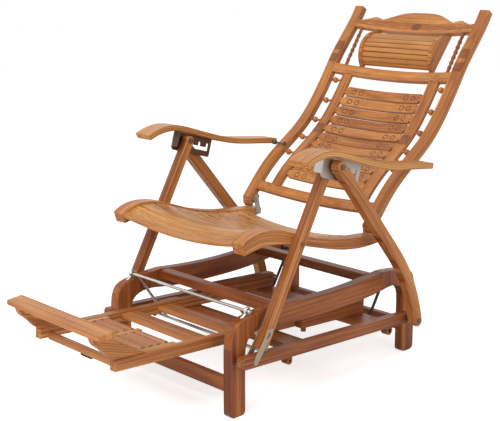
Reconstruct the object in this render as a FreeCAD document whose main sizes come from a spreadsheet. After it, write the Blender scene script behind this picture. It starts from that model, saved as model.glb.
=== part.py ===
import FreeCAD, Part
import math
import os

from FreeCAD import Placement, Rotation, Vector

# Folding recliner of laminated bamboo on a gliding base, with a pull-out footrest.
# Millimetres. +Z is up, the sitter faces -Y, and +X is the sitter's left side.
# The origin is on the floor under the middle of the whole object.

os.makedirs("parts", exist_ok=True)

doc = FreeCAD.newDocument("bamboo_recliner")
sheet = doc.addObject("Spreadsheet::Sheet", "Sizes")

SIZES = {
    # base that stands on the floor
    "base_half": 236,
    "panel_thick": 29,
    "leg_deep": 48,
    "base_front": 344,
    "base_rear": 364,
    "foot_round": 12,
    "beam_front": 187,
    "beam_rear": 220,
    "beam_end_top": 254,
    "beam_waist_top": 243,
    "beam_deep": 52,
    "beam_waist_y": 10,
    "stretcher_bottom": 56,
    "stretcher_high": 35,
    "stretcher_thick": 20,
    "cross_rail_bottom": 227,
    "cross_rail_deep": 30,
    "cross_rail_high": 24,
    "front_rail_back": 164,
    "rear_rail_back": 202,
    # glider links of bent steel rod
    "front_link_gap": 7,
    "rear_link_gap": 19,
    "rod_radius": 4,
    "hook_y": -278,
    "hook_z": 255,
    "front_eye_y": -178,
    "front_eye_z": 115,
    "rear_top_y": 292,
    "rear_top_z": 225,
    "rear_eye_y": 213,
    "rear_eye_z": 97,
    "hook_wire": 3.6,
    "bush_thick": 12,
    "bush_radius": 13,
    "running_gap": 0.08,
    "open_gap": 2.6,
    # swing frame
    "frame_gap": 12,
    "rail_wide": 26,
    "rail_high": 29,
    "rail_fall": 2.73,
    "rail_front": 338,
    "rail_front_top": 162,
    "rail_long": 645,
    "board_thick": 18,
    "board_deep": 70,
    "front_board_y": -174,
    "rear_board_y": 132,
    "clip_wide": 20,
    # upright frame
    "post_foot_gap": 9,
    "leg_gap": 10,
    "post_wide": 26,
    "post_deep": 25,
    "post_lean": 28.9,
    "pin_y": -42,
    "pin_z": 586,
    "seat_bolt_drop": 207,
    "strap_y": -300,
    "strap_thick": 2.2,
    "strap_wide": 16,
    "strap_long": 82,
    "leg_wide": 27,
    "bent_deep": 31,
    "leg_lean": 40.8,
    "leg_straight": 345,
    "leg_bend_radius": 463,
    "leg_bend": 29,
    "bolt_radius": 4,
    "bolt_head": 7,
    "bolt_head_high": 2.5,
    # seat
    "seat_rail_wide": 42,
    "seat_sag": 20,
    "seat_inset": 4,
    "seat_slat_thick": 10,
    "seat_slat_wide": 34,
    "seat_slat_gap": 4,
    "front_slat_wide": 56,
    "second_slat_wide": 40,
    "hinge_y": 174,
    "hinge_z": 389,
    "hinge_round": 8,
    "hinge_pin": 3,
    "leaf_thick": 2.4,
    "seat_leaf_long": 33,
    "back_leaf_long": 14,
    # back
    "stile_wide": 34,
    "stile_thick": 21,
    "back_bow": 22,
    "cross_inset": 2,
    "inner_stile_half": 178,
    "inner_stile_wide": 34,
    "inner_stile_thick": 14,
    "back_rail_thick": 16,
    "mid_rail_high": 32,
    "bottom_rail_high": 30,
    "crest_high": 29,
    "crest_rise": 73,
    "back_slat_thick": 8,
    "back_slat_wide": 30,
    "back_slat_pitch": 33,
    "slat_neck_long": 9,
    "slat_neck_wide": 18,
    "top_slat_gap": 38,
    "bead_half": 197,
    "bead_radius": 9,
    "bead_peg": 3.5,
    "bead_pitch": 71,
    "spindle_half": 188,
    "spindle_radius": 5.5,
    "headrest_half": 136,
    "headrest_plate": 13,
    "headrest_bulge": 44,
    "headrest_slat": 13.6,
    "headrest_slat_thick": 7,
    # armrests
    "arm_gap": 11,
    "comb_gap": 4,
    "arm_wide": 62,
    "arm_thick": 16,
    "arm_pivot_y": 296,
    "arm_pivot_z": 544,
    "arm_bolt": 3,
    "comb_thick": 2.5,
    "comb_tab": 22,
    "comb_front": 39,
    "comb_rear": 105,
    "comb_under": 34,
    "comb_over": 19,
    "comb_fall": 15.9,
    "notch_pitch": 30.5,
    "notch_drop": 8,
    "comb_channel": 10,
    "pin_gap": 0.4,
    # footrest
    "foot_fall": 3.3,
    "foot_line_y": -141,
    "foot_line_z": 150,
    "slide_gap": 0.2,
    "foot_rail_outer": 162,
    "foot_rail_wide": 24,
    "foot_rail_high": 26,
    "foot_front": 486,
    "foot_rear": 171,
    "guide_wide": 22,
    "guide_high": 44,
    "guide_lip": 13,
    "guide_lip_thick": 5,
    "guide_front": 94,
    "guide_long": 249,
    "foot_slat_thick": 14,
    "foot_slat_wide": 49,
    "foot_slat_pitch": 119,
    "foot_slat_front": 240,
    "front_bar_back": 22,
    "front_bar_thick": 14,
    "front_bar_high": 18,
    "foot_board_half": 185,
    "foot_board_deep": 44,
    "foot_board_thick": 14,
    "cheek_thick": 18,
    "cheek_high": 59,
    "roller_radius": 10,
    "roller_pitch": 24,
    "roller_axle": 2.5,
    "roller_half": 121,
    "roller_divider": 16,
    "roller_bar": 14,
    "roller_waist": 2,
    # softened edges
    "edge": 2,
    "slat_edge": 1.5,
}

for row, (alias, value) in enumerate(SIZES.items(), start=1):
    sheet.set("A%d" % row, alias)
    sheet.set("B%d" % row, str(value))
    sheet.setAlias("B%d" % row, alias)
doc.recompute()

ROLLER_ROWS = 4
BACK_SLATS = 11
SEAT_SLATS = 9
HEADREST_SLATS = 10
NOTCHES = 4
ROLLER_BEADS = 5
BEAD_ROWS = 5
GUIDE_PLAY = 1
SIDES = {"left": 1, "right": -1}

sub_parts = {}


def size(alias):
    return float(SIZES[alias])


def keep(name, thing):
    """Name a finished piece of the recliner."""
    thing.Label = name
    sub_parts[name] = thing
    return thing


def bind(thing, **expressions):
    for field, alias in expressions.items():
        thing.setExpression(field, alias if "." in alias else "Sizes." + alias)
    return thing


def polar(degrees):
    """Unit step in the Y-Z plane, at an angle above +Y."""
    return math.cos(math.radians(degrees)), math.sin(math.radians(degrees))


def moved(point, degrees, along, above=0.0):
    """A point carried along a direction in the Y-Z plane, and off it to the upper side."""
    cos, sin = polar(degrees)
    return point[0] + along * cos - above * sin, point[1] + along * sin + above * cos


def outline(start, *steps):
    """Closed outline: lines, three-point arcs, curves through points, and bends drawn in by poles."""
    curves = []
    here = start
    for kind, *points in steps:
        stops = [Vector(u, v, 0) for u, v in [here, *points]]
        if kind == "line":
            curves += [Part.LineSegment(a, b) for a, b in zip(stops, stops[1:])]
        elif kind == "arc":
            curves.append(Part.Arc(*stops))
        else:
            curve = Part.BSplineCurve()
            if kind == "bend":
                curve.buildFromPoles(stops, False, 3)
            else:
                curve.interpolate(stops)
            curves.append(curve)
        here = points[-1]
    return curves


def circle(centre, radius):
    return [Part.Circle(Vector(centre[0], centre[1], 0), Vector(0, 0, 1), radius)]


def capsule(start, end, radius):
    """Outline of a bar with round ends, from one end's centre to the other's."""
    angle = math.degrees(math.atan2(end[1] - start[1], end[0] - start[0]))
    return outline(
        moved(start, angle, 0, radius),
        ("arc", moved(start, angle, -radius), moved(start, angle, 0, -radius)),
        ("line", moved(end, angle, 0, -radius)),
        ("arc", moved(end, angle, radius), moved(end, angle, 0, radius)),
        ("line", moved(start, angle, 0, radius)),
    )


def draw(body, name, curves, offset=0.0, role="YZ_Plane"):
    """Sketch in one of the body's own planes."""
    plane = next(item for item in body.Origin.OriginFeatures if item.Role == role)
    sketch = body.newObject("Sketcher::SketchObject", name)
    sketch.AttachmentSupport = [(plane, "")]
    sketch.MapMode = "FlatFace"
    sketch.AttachmentOffset = Placement(Vector(0, 0, offset), Rotation())
    for curve in curves:
        sketch.addGeometry(curve, False)
    return sketch


def pad(body, name, curves, inner, thick, side=1, role="YZ_Plane"):
    """Pad an outline from its inner face outwards, on one side of the middle plane."""
    start = inner if side > 0 else -inner - size(thick)
    extrusion = body.newObject("PartDesign::Pad", name)
    extrusion.Profile = draw(body, name + "Outline", curves, start, role)
    bind(extrusion, Length=thick)
    return extrusion


def bore(body, name, centre, radius):
    """Round hole along X, right through the body."""
    cut = body.newObject("PartDesign::Pocket", name)
    cut.Profile = draw(body, name + "Circle", circle(centre, radius))
    cut.Type = "ThroughAll"
    cut.Midplane = True
    return cut


def soften(body, name, alias, flat):
    """Chamfer the edges that lie in planes square to one axis."""
    doc.recompute()
    base = body.Tip
    edges = []
    for number, edge in enumerate(base.Shape.Edges, start=1):
        box = edge.BoundBox
        if getattr(box, flat + "Length") < 0.001 and edge.Length > 4 * size(alias):
            edges.append("Edge%d" % number)
    chamfer = body.newObject("PartDesign::Chamfer", name)
    chamfer.Base = (base, edges)
    bind(chamfer, Size=alias)
    body.Tip = chamfer
    return chamfer


def new_body(name):
    return doc.addObject("PartDesign::Body", name)


def panel(name, curves, inner, thick, side=1, soft="edge", holes=()):
    """Flat piece cut to an outline in the Y-Z plane, with softened edges and bores along X."""
    body = new_body(name)
    pad(body, name + "Pad", curves, inner, thick, side)
    if soft:
        soften(body, name + "Chamfer", soft, "X")
    for number, (centre, radius) in enumerate(holes, start=1):
        bore(body, "%sBore%d" % (name, number), centre, radius)
    return body


def block(name, half_or_pair, corner, degrees, deep, high, soft="edge"):
    """Straight board across the chair. Its corner is at its low front edge, tilted up towards the rear."""
    low, top = half_or_pair
    cos, sin = polar(degrees)
    box = doc.addObject("Part::Box", name + "Box")
    box.Length = top - low
    bind(box, Width=deep, Height=high)
    box.Placement = Placement(Vector(low, corner[0], corner[1]), Rotation(Vector(1, 0, 0), degrees))
    if not soft:
        return box
    doc.recompute()
    rounded = doc.addObject("Part::Chamfer", name)
    rounded.Base = box
    radius = size(soft)
    rounded.Edges = [
        (number, radius, radius)
        for number, edge in enumerate(box.Shape.Edges, start=1)
        if edge.BoundBox.XLength > 1 and edge.Length > top - low - 1
    ]
    return rounded


def rod(name, start, end, radius):
    """Round bar between two points."""
    run = Vector(*end) - Vector(*start)
    bar = doc.addObject("Part::Cylinder", name)
    bind(bar, Radius=radius)
    bar.Height = run.Length
    bar.Placement = Placement(Vector(*start), Rotation(Vector(0, 0, 1), run))
    return bar


def disc(name, side, near, far, centre, radius):
    """Short cylinder along X between two distances from the middle plane."""
    low, high = sorted((side * near, side * far))
    piece = doc.addObject("Part::Cylinder", name)
    piece.Radius = radius
    piece.Height = high - low
    piece.Placement = Placement(Vector(low, centre[0], centre[1]), Rotation(Vector(0, 1, 0), 90))
    return piece


def fuse(name, pieces):
    joined = doc.addObject("Part::MultiFuse", name)
    joined.Shapes = pieces
    return joined


def cut(name, base, tool):
    result = doc.addObject("Part::Cut", name)
    result.Base = base
    result.Tool = tool
    return result


def group(name, pieces):
    """Like pieces that share one name, each a solid of its own."""
    together = doc.addObject("Part::Compound", name)
    together.Links = pieces
    return keep(name, together)


def height_on(points, y):
    """Height of a run of points at one Y, straight between neighbours."""
    for (y0, z0), (y1, z1) in zip(points, points[1:]):
        if y0 <= y <= y1:
            return z0 + (z1 - z0) * (y - y0) / (y1 - y0)
    return points[-1][1]


# Faces that the pieces lie against, each a distance from the middle plane, from the base outwards.

inner_face = size("base_half") - size("panel_thick")
rail_inner = size("base_half") + size("frame_gap")
rail_outer = rail_inner + size("rail_wide")
post_inner = rail_inner
post_outer = post_inner + size("post_wide")
seat_rail_inner = post_inner - size("seat_rail_wide")
stile_inner = post_inner - size("stile_wide")
arm_inner = post_inner + size("arm_gap")
comb_inner = post_outer + size("comb_gap")
leg_inner = rail_outer + size("leg_gap")

# Base: two arched sides with knee-shaped legs, tied by low stretchers and upper rails.

beam_bottom = size("beam_end_top") - size("beam_deep")


def knee(name, side, tip, inward, crown, arch):
    """Leg with a round foot that curves over its knee to the beam."""
    foot = size("foot_round")
    deep = size("leg_deep")

    def spot(point):
        return tip + inward * point[0], point[1]

    half = foot * (1 - math.sqrt(0.5))
    curves = outline(
        spot((0, foot)),
        ("line", spot(crown[0])),
        ("bend", *[spot(point) for point in crown[1:]]),
        ("line", spot(arch[0])),
        ("bend", *[spot(point) for point in arch[1:]]),
        ("line", spot((deep, foot))),
        ("arc", spot((deep - half, half)), spot((deep - foot, 0))),
        ("line", spot((foot, 0))),
        ("arc", spot((half, half)), spot((0, foot))),
    )
    return keep(name, panel(name, curves, inner_face, "panel_thick", side))


def knee_curves(top, bottom, reach):
    """Crown over the knee and arch under it, as distances in from the leg's outer edge."""
    deep = size("leg_deep")
    crown = [(0, top - 106), (0, top - 58), (9, top - 20), (50, top - 10), (95, top - 3), (reach, top)]
    arch = [(reach, bottom), (reach - 42, bottom + 7), (deep + 28, bottom + 3), (deep, bottom - 20)]
    arch += [(deep, bottom - 50), (deep, bottom - 76)]
    return crown, arch


def beam_outline():
    front = -size("beam_front")
    rear = size("beam_rear")
    top = size("beam_end_top")
    waist = size("beam_waist_top")
    deep = size("beam_deep")
    middle = size("beam_waist_y")
    quarter = (rear - front) / 4
    return outline(
        (front, beam_bottom),
        ("line", (front, top)),
        ("curve", (front + quarter, waist + 3), (middle, waist), (rear - quarter, waist + 3), (rear, top)),
        ("line", (rear, beam_bottom)),
        ("curve", (rear - quarter, waist - deep + 2), (middle, waist - deep), (front + quarter, waist - deep + 2),
         (front, beam_bottom)),
    )


for word, side in SIDES.items():
    front_reach = size("base_front") - size("beam_front")
    rear_reach = size("base_rear") - size("beam_rear")
    crown, arch = knee_curves(size("beam_end_top"), beam_bottom, front_reach)
    knee("base_front_leg_" + word, side, -size("base_front"), 1, crown, arch)
    crown, arch = knee_curves(size("beam_end_top"), beam_bottom, rear_reach)
    knee("base_rear_leg_" + word, side, size("base_rear"), -1, crown, arch)
    beam_name = "base_beam_" + word
    keep(beam_name, panel(beam_name, beam_outline(), inner_face, "panel_thick", side))

between_sides = (-inner_face, inner_face)
leg_middle = (size("leg_deep") - size("stretcher_thick")) / 2
group("low_stretchers", [
    block("FrontStretcher", between_sides, (-size("base_front") + leg_middle, size("stretcher_bottom")), 0,
          "stretcher_thick", "stretcher_high"),
    block("RearStretcher", between_sides,
          (size("base_rear") - leg_middle - size("stretcher_thick"), size("stretcher_bottom")), 0,
          "stretcher_thick", "stretcher_high"),
])
for name, back in (("upper_front_rail", -size("front_rail_back")), ("upper_rear_rail", size("rear_rail_back"))):
    corner = (back - size("cross_rail_deep"), size("cross_rail_bottom"))
    keep(name, block(name, between_sides, corner, 0, "cross_rail_deep", "cross_rail_high"))


# Glider links: two hangers of bent rod carry the swing frame under the base.

hook = (size("hook_y"), size("hook_z"))
front_eye = (size("front_eye_y"), size("front_eye_z"))
rear_top = (size("rear_top_y"), size("rear_top_z"))
rear_eye = (size("rear_eye_y"), size("rear_eye_z"))
rod_radius = size("rod_radius")
running_bore = rod_radius + size("running_gap")
bar_end = rail_inner + size("clip_wide") - 4


def at(x, point):
    return x, point[0], point[1]


def screw_hook(word, side):
    """Steel screw eye, its shank driven into the top of the front leg."""
    wire = size("hook_wire")
    ring = running_bore + wire
    x = side * (size("base_half") - size("panel_thick") / 2)
    eye = doc.addObject("Part::Torus", "HookRing" + word)
    eye.Radius1 = ring
    bind(eye, Radius2="hook_wire")
    eye.Placement = Placement(Vector(*at(x, hook)), Rotation(Vector(0, 1, 0), 90))
    shank_angle = 218
    start = moved(hook, shank_angle, ring)
    end = moved(hook, shank_angle, ring + 40)
    shank = rod("HookShank" + word, at(x, start), at(x, end), "hook_wire")
    joined = fuse("HookSteel" + word, [eye, shank])
    return cut("Hook" + word, joined, sub_parts["base_front_leg_" + word])


group("hanger_hooks", [screw_hook(word, side) for word, side in SIDES.items()])


def eye_bush(word, side):
    """Bush on the inner face of the rear leg, for the rear hanger's turned-out end."""
    bush_face = inner_face - size("bush_thick")
    bush = disc("BushOuter" + word, side, bush_face, inner_face, rear_top, size("bush_radius"))
    hole = disc("BushHole" + word, side, bush_face - 1, inner_face + 1, rear_top, running_bore)
    return cut("Bush" + word, bush, hole)


group("hanger_eyes", [eye_bush(word, side) for word, side in SIDES.items()])


def hanger(name, top, low, half, top_bars):
    """Side links down to the cross bar that the swing frame rests on."""
    bars = [rod(name + "Low", at(-bar_end, low), at(bar_end, low), "rod_radius")]
    for number, (x0, x1) in enumerate(top_bars):
        bars.append(rod("%sTop%d" % (name, number), at(x0, top), at(x1, top), "rod_radius"))
    for word, side in SIDES.items():
        bars.append(rod(name + "Link" + word, at(side * half, top), at(side * half, low), "rod_radius"))
        elbow = doc.addObject("Part::Sphere", name + "Elbow" + word)
        bind(elbow, Radius="rod_radius")
        elbow.Placement = Placement(Vector(*at(side * half, top)), Rotation())
        bars.append(elbow)
    return keep(name, fuse(name, bars))


top_half = size("base_half") - 1
hanger("front_hanger", hook, front_eye, inner_face - size("front_link_gap"), [(-top_half, top_half)])
stub_end = inner_face - 1
stub_start = inner_face - size("rear_link_gap")
hanger("rear_hanger", rear_top, rear_eye, stub_start, [(-stub_end, -stub_start), (stub_start, stub_end)])


# Swing frame: two rails on the hangers, tied by two boards that carry the footrest's guides.

def on_rail(along, above):
    """Point on the swing rail, from its front top corner back and up."""
    return moved((-size("rail_front"), size("rail_front_top")), -size("rail_fall"), along, above)


def rail_distance(y):
    return (y + size("rail_front")) / polar(size("rail_fall"))[0]


def on_foot_line(along, above):
    """Point on the line that the footrest's rails slide on."""
    return moved((size("foot_line_y"), size("foot_line_z")), -size("foot_fall"), along, above)


def foot_distance(y):
    return (y - size("foot_line_y")) / polar(size("foot_fall"))[0]


def rail_outline():
    long = size("rail_long")
    high = size("rail_high")
    end = 8
    return outline(
        on_rail(end, 0),
        ("line", on_rail(long - high / 2, 0)),
        ("arc", on_rail(long, -high / 2), on_rail(long - high / 2, -high)),
        ("line", on_rail(end, -high)),
        ("arc", on_rail(end * 0.3, -high + end * 0.3), on_rail(0, -high + end)),
        ("line", on_rail(0, -end)),
        ("arc", on_rail(end * 0.3, -end * 0.3), on_rail(end, 0)),
    )


leg_centre_start = (size("pin_y"), size("pin_z"))
bend_start = moved(leg_centre_start, size("leg_lean") - 90, size("leg_straight"))
bend_centre = moved(bend_start, size("leg_lean") - 180, size("leg_bend_radius"))


def on_bend(fraction, off=0.0):
    """Point on the leg's bent length, off its centre line to the outside of the bend."""
    angle = size("leg_lean") - fraction * size("leg_bend")
    return moved(bend_centre, angle, size("leg_bend_radius") + off)


leg_foot = on_bend(1)
strap_pivot = on_rail(rail_distance(size("strap_y")), -size("rail_high") / 2)
side_gap = size("slide_gap")
pin_bore = size("bolt_radius") + size("running_gap")

for word, side in SIDES.items():
    name = "swing_rail_" + word
    holes = [(strap_pivot, pin_bore), (leg_foot, pin_bore)]
    keep(name, panel(name, rail_outline(), rail_inner, "rail_wide", side, holes=holes))

between_rails = (-rail_inner, rail_inner)
for name, y in (("front_board", size("front_board_y")), ("rear_board", size("rear_board_y"))):
    corner = on_foot_line(foot_distance(y), -size("board_thick"))
    keep(name, block(name, between_rails, corner, -size("foot_fall"), "board_deep", "board_thick"))


def guide(word, side):
    """Wall beside the foot rail with a lip over it, so the footrest slides and can't lift."""
    inner = size("foot_rail_outer") + GUIDE_PLAY
    lip_inner = inner - size("guide_lip")
    lip_low = size("foot_rail_high") + size("slide_gap") + GUIDE_PLAY
    start = on_foot_line(size("guide_front"), 0)
    lip_start = on_foot_line(size("guide_front"), lip_low)
    wall = block("GuideWall" + word, tuple(sorted((side * inner, side * (inner + size("guide_wide"))))),
                 start, -size("foot_fall"), "guide_long", "guide_high")
    lip = block("GuideLip" + word, tuple(sorted((side * lip_inner, side * (inner + 4)))),
                lip_start, -size("foot_fall"), "guide_long", "guide_lip_thick", soft=None)
    return fuse("Guide" + word, [wall, lip])


def stop_knob(word, side):
    """Round knob screwed up into the guide's front end."""
    x = side * (size("foot_rail_outer") + GUIDE_PLAY + size("guide_wide") / 2)
    top = on_foot_line(size("guide_front") + 20, 0)
    knob = doc.addObject("Part::Cylinder", "Knob" + word)
    knob.Radius = 7
    knob.Height = 12
    knob.Placement = Placement(Vector(x, top[0], top[1]), Rotation(Vector(1, 0, 0), 180 - size("foot_fall")))
    return knob


guides = [guide(word, side) for word, side in SIDES.items()]
knobs = [stop_knob(word, side) for word, side in SIDES.items()]
group("footrest_guides", guides + knobs)


def clip(name, side, eye, hole):
    """Saddle under the rail that holds a hanger's cross bar."""
    round_radius = hole + 5
    under = -size("rail_high")
    front = on_rail(rail_distance(eye[0] - round_radius), under)
    rear = on_rail(rail_distance(eye[0] + round_radius), under)
    curves = outline(
        front,
        ("line", (front[0], eye[1])),
        ("arc", (eye[0], eye[1] - round_radius), (rear[0], eye[1])),
        ("line", rear, front),
    )
    return panel(name, curves, rail_inner + 2, "clip_wide", side, soft=None, holes=[(eye, hole)])


open_bore = rod_radius + size("open_gap")
group("rod_clips", [
    clip("Clip%s%s" % (place, word), side, eye, hole)
    for place, eye, hole in (("Front", front_eye, running_bore), ("Rear", rear_eye, open_bore))
    for word, side in SIDES.items()
])


def rear_axle(word, side):
    """Bolt through the rail's rear end, with the spacer that the bent leg rests against."""
    shank = disc("AxleShank" + word, side, rail_inner - 3, rail_outer, leg_foot, size("bolt_radius"))
    spacer = disc("AxleSpacer" + word, side, rail_outer, leg_inner - size("pin_gap"), leg_foot, size("bolt_head"))
    return fuse("Axle" + word, [shank, spacer])


group("rear_axles", [rear_axle(word, side) for word, side in SIDES.items()])


# Upright frame: leaning front posts, hinged to the swing rails by straps, and bent rear legs.

pin = (size("pin_y"), size("pin_z"))
post_angle = -90 - size("post_lean")


def on_post(down, front=0.0):
    """Point on the front post, down from the pin and off to its front side."""
    return moved(pin, post_angle, down, -front)


def post_length():
    """From the pin down the post's middle, ending a gap above the swing rail's top."""
    cos, sin = polar(-size("rail_fall"))
    corner = on_rail(0, size("post_foot_gap"))
    height = (pin[1] - corner[1]) * cos - (pin[0] - corner[0]) * sin
    step = polar(post_angle)
    return height / (step[0] * sin - step[1] * cos)


post_long = post_length()

seat_bolt = on_post(size("seat_bolt_drop"))
strap_direction = math.degrees(math.atan2(on_post(post_long - 60)[1] - strap_pivot[1],
                                          on_post(post_long - 60)[0] - strap_pivot[0]))
strap_top = moved(strap_pivot, strap_direction, size("strap_long"))


def post_outline():
    half = size("post_deep") / 2
    long = post_long
    return outline(
        on_post(0, half),
        ("arc", on_post(-half), on_post(0, -half)),
        ("line", on_post(long, -half), on_post(long, half), on_post(0, half)),
    )


def strap(name, side, inner):
    """Steel strap beside the post, its lower end turning on the swing rail."""
    half = size("strap_wide") / 2
    slot = 3.2
    body = new_body(name)
    pad(body, name + "Pad", capsule(strap_pivot, strap_top, half), inner, "strap_thick", side)
    slot_cut = body.newObject("PartDesign::Pocket", name + "Slot")
    low = moved(strap_top, strap_direction, -16)
    slot_cut.Profile = draw(body, name + "SlotOutline", capsule(low, strap_top, slot))
    slot_cut.Type = "ThroughAll"
    slot_cut.Midplane = True
    return body


strap_pieces = []
bolt_pieces = []
for word, side in SIDES.items():
    name = "front_post_" + word
    holes = [(pin, pin_bore), (seat_bolt, pin_bore)]
    keep(name, panel(name, post_outline(), post_inner, "post_wide", side, holes=holes))
    thick = size("strap_thick")
    outer_strap = strap("OuterStrap" + word, side, post_outer)
    inner_strap = strap("InnerStrap" + word, side, post_inner - thick)
    pin_rod = disc("StrapPin" + word, side, post_inner - thick - 2, post_outer + thick + 2, strap_pivot,
                   size("bolt_radius"))
    screw_head = disc("StrapScrew" + word, side, post_outer + thick, post_outer + thick + 1.6, strap_top, 6)
    strap_pieces.append(fuse("Straps" + word, [outer_strap, inner_strap, pin_rod, screw_head]))
    stub = disc("PostStub" + word, side, post_inner - 2, comb_inner - size("pin_gap"), pin, size("bolt_radius"))
    stub_head = disc("PostStubHead" + word, side, post_inner - 4, post_inner, pin, size("bolt_head"))
    seat_shank = disc("SeatBolt" + word, side, seat_rail_inner - 2, post_outer, seat_bolt,
                      size("bolt_radius"))
    seat_head = disc("SeatBoltHead" + word, side, post_outer, post_outer + size("bolt_head_high"), seat_bolt, 6)
    bolt_pieces.append(fuse("PinBolt" + word, [stub, stub_head]))
    bolt_pieces.append(fuse("SeatBolts" + word, [seat_shank, seat_head]))
group("strap_hinges", strap_pieces)
group("post_bolts", bolt_pieces)


def leg_outline():
    half = size("bent_deep") / 2
    lean = size("leg_lean") - 90
    return outline(
        moved(pin, lean, 0, half),
        ("line", moved(bend_start, lean, 0, half)),
        ("arc", on_bend(0.5, half), on_bend(1, half)),
        ("arc", moved(leg_foot, lean - size("leg_bend"), half), on_bend(1, -half)),
        ("arc", on_bend(0.5, -half), moved(bend_start, lean, 0, -half)),
        ("line", moved(pin, lean, 0, -half)),
        ("arc", moved(pin, lean, -half), moved(pin, lean, 0, half)),
    )


comb_outer = comb_inner + size("comb_thick")
for word, side in SIDES.items():
    name = "bent_leg_" + word
    holes = [(pin, pin_bore), (leg_foot, pin_bore)]
    keep(name, panel(name, leg_outline(), leg_inner, "leg_wide", side, holes=holes))
    leg_outer = leg_inner + size("leg_wide")
    head_top = leg_outer + size("bolt_head_high")
    pieces = []
    for place, centre, start in (("Top", pin, comb_outer + size("pin_gap")), ("Foot", leg_foot, leg_inner)):
        shank = disc("LegShank" + place + word, side, start, leg_outer, centre, size("bolt_radius"))
        head = disc("LegHead" + place + word, side, leg_outer, head_top, centre, size("bolt_head"))
        pieces.append(fuse("LegBolt" + place + word, [shank, head]))
    group("leg_bolts_" + word, pieces)


# Seat: two wide curved rails bolted to the posts, with sagging slats between them.

SEAT_TOP = [(-316, 429), (-298, 439), (-272, 447), (-232, 449), (-196, 444), (-152, 431), (-108, 415), (-66, 401),
            (-10, 388), (50, 378), (110, 373), (194, 366)]
SEAT_UNDER = [(194, 348), (168, 345), (100, 345), (31, 354), (-40, 371), (-110, 390), (-160, 402), (-220, 411),
              (-265, 410), (-308, 402)]


def seat_outline():
    return outline(
        SEAT_UNDER[-1],
        ("line", SEAT_TOP[0]),
        ("curve", *SEAT_TOP[1:]),
        ("line", SEAT_UNDER[0]),
        ("curve", *SEAT_UNDER[1:]),
    )


for word, side in SIDES.items():
    name = "seat_rail_" + word
    keep(name, panel(name, seat_outline(), seat_rail_inner, "seat_rail_wide", side,
                     holes=[(seat_bolt, pin_bore)]))


def sagging_slat(name, front_y, wide):
    """Slat bent down in the middle, laid along the rails' curve."""
    rear_y = front_y + size(wide)
    front_z = height_on(SEAT_TOP, front_y) - size("seat_inset")
    rear_z = height_on(SEAT_TOP, rear_y) - size("seat_inset")
    half = seat_rail_inner
    sag = size("seat_sag")
    thick = size("seat_slat_thick")
    curves = outline(
        (-half, 0),
        ("arc", (0, -sag), (half, 0)),
        ("line", (half, -thick)),
        ("arc", (0, -sag - thick), (-half, -thick)),
        ("line", (-half, 0)),
    )
    body = new_body(name)
    slat = pad(body, name + "Pad", curves, 0, wide, role="XZ_Plane")
    slat.Reversed = True
    soften(body, name + "Chamfer", "slat_edge", "Y")
    tilt = math.degrees(math.atan2(rear_z - front_z, rear_y - front_y))
    body.Placement = Placement(Vector(0, front_y, front_z), Rotation(Vector(1, 0, 0), tilt))
    return body


front_edge = SEAT_TOP[0][0] + 2
second_edge = front_edge + size("front_slat_wide") + size("seat_slat_gap")
group("seat_front_slats", [
    sagging_slat("FrontSlat", front_edge, "front_slat_wide"),
    sagging_slat("SecondSlat", second_edge, "second_slat_wide"),
])
slats_start = second_edge + size("second_slat_wide") + 2 * size("seat_slat_gap")
slat_step = size("seat_slat_wide") + size("seat_slat_gap")
group("seat_slats", [
    sagging_slat("SeatSlat%d" % number, slats_start + number * slat_step, "seat_slat_wide")
    for number in range(SEAT_SLATS)
])

hinge = (size("hinge_y"), size("hinge_z"))
seat_leaf_inner = seat_rail_inner - size("leaf_thick")
back_leaf_inner = stile_inner - size("leaf_thick")


def leaf(name, side, inner, degrees, long, hole=None):
    """Hinge leaf from the pin to its screwed end."""
    body = new_body(name)
    end = moved(hinge, degrees, size(long))
    pad(body, name + "Pad", capsule(hinge, end, size("hinge_round")), inner, "leaf_thick", side)
    if hole:
        bore(body, name + "Bore", hinge, hole)
    return body


def seat_hinge(word, side):
    plate = leaf("SeatLeaf" + word, side, seat_leaf_inner, 280, "seat_leaf_long")
    barrel = disc("HingeBarrel" + word, side, seat_rail_inner, back_leaf_inner - side_gap, hinge,
                  size("hinge_round") - 1)
    pivot = disc("HingePin" + word, side, seat_leaf_inner - 1.5, stile_inner - side_gap, hinge,
                 size("hinge_pin"))
    return fuse("SeatHinge" + word, [plate, barrel, pivot])


group("seat_hinges", [seat_hinge(word, side) for word, side in SIDES.items()])


# Back: two S-shaped outer stiles, with bowed rails, slats, beads and a headrest between them.

STILE_FRONT = [(146, 391), (178, 424), (212, 466), (248, 499), (288, 530), (326, 556), (360, 579), (402, 614), (454, 673),
               (503, 742), (541, 798), (602, 872), (652, 941)]


def back_curve():
    curve = Part.BSplineCurve()
    curve.interpolate([Vector(y, z, 0) for y, z in STILE_FRONT])
    return curve


back_line = back_curve()
back_long = back_line.length()


def on_back(down, deep=0.0):
    """Point on the back, by its distance down from the stile's top, and its depth behind the front face."""
    here = back_line.parameterAtDistance(back_long - down, back_line.FirstParameter)
    point = back_line.value(here)
    tangent = back_line.tangent(here)[0]
    return point.x + tangent.y * deep, point.y - tangent.x * deep


def back_angle(down):
    """Slope of the back in degrees above +Y."""
    here = back_line.parameterAtDistance(back_long - down, back_line.FirstParameter)
    tangent = back_line.tangent(here)[0]
    return math.degrees(math.atan2(tangent.y, tangent.x))


def bow_at(x):
    """Depth of the bowed rails and slats at one distance from the middle."""
    return size("cross_inset") + size("back_bow") * (1 - (x / stile_inner) ** 2)


def strip_outline(top_down, low_down, deep, thick, steps):
    """Long strip that follows the back's curve at an even depth."""
    stops = [top_down + (low_down - top_down) * number / steps for number in range(steps + 1)]
    front = [on_back(down, deep) for down in stops]
    rear = [on_back(down, deep + thick) for down in reversed(stops)]
    return outline(front[0], ("curve", *front[1:]), ("line", rear[0]), ("curve", *rear[1:]), ("line", front[0]))


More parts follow.
